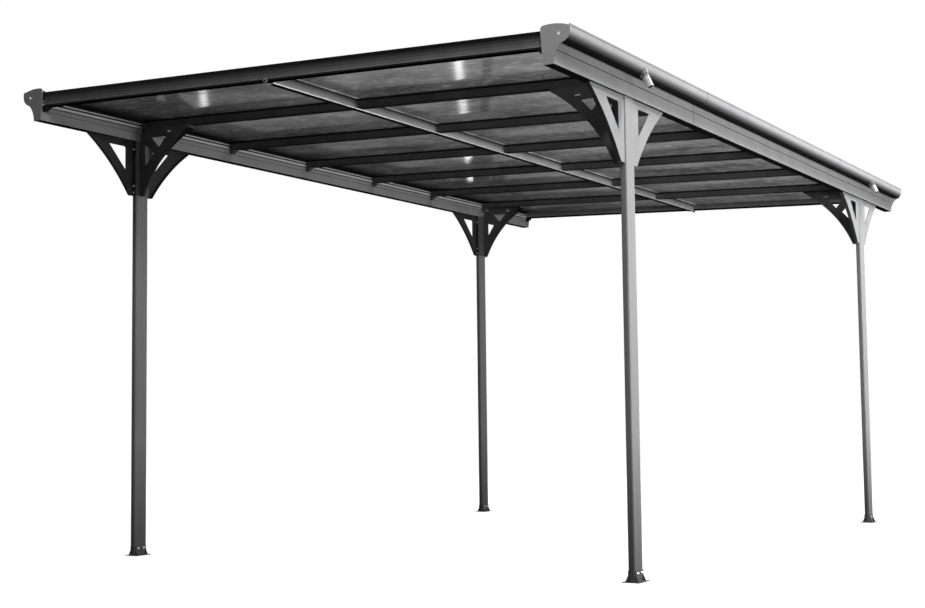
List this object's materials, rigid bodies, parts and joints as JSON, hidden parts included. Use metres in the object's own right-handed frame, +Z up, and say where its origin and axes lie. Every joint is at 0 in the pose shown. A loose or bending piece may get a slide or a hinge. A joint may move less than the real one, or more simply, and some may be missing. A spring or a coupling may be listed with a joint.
{
  "type": "carport",
  "caption": "Open carport: flat posts with curved corner braces carry gutter beams and a gently sloping roof of clear panels on rafters, with drain spouts on the low side.",
  "frame": {"origin": "on the ground, midway between the four posts", "axes": "+X to the low eaves with the spouts, +Y from the front end to the rear end, +Z up"},
  "size_m": [3.0344, 5, 2.3201],
  "materials": {
    "frame": "satin",
    "brace": "satin",
    "end_cap": "satin",
    "foot": "satin",
    "panel": "glossy, lightly tinted",
    "spout": "glossy"
  },
  "bodies": {
    "root": {"arch_brace_left_front": "brace", "arch_brace_left_rear": "brace", "arch_brace_right_front": "brace", "arch_brace_right_rear": "brace", "beam_left_front": "frame", "beam_left_middle": "frame", "beam_left_rear": "frame", "beam_right_front": "frame", "beam_right_middle": "frame", "beam_right_rear": "frame", "centre_purlin": "frame", "end_cap_left_front": "end_cap", "end_cap_left_rear": "end_cap", "end_cap_right_front": "end_cap", "end_cap_right_rear": "end_cap", "foot_left_front": "foot", "foot_left_rear": "foot", "foot_right_front": "foot", "foot_right_rear": "foot", "post_left_front": "frame", "post_left_rear": "frame", "post_right_front": "frame", "post_right_rear": "frame", "rafter_2": "frame", "rafter_3": "frame", "rafter_4": "frame", "rafter_5": "frame", "rafter_6": "frame", "rafter_7": "frame", "rafter_front": "frame", "rafter_rear": "frame", "roof_panel_1": "panel", "roof_panel_2": "panel", "roof_panel_3": "panel", "roof_panel_4": "panel", "roof_panel_5": "panel", "roof_panel_6": "panel", "roof_panel_7": "panel", "side_braces_left_front": "brace", "side_braces_left_rear": "brace", "side_braces_right_front": "brace", "side_braces_right_rear": "brace", "spout_front": "spout", "spout_rear": "spout"}
  },
  "joints": []
}
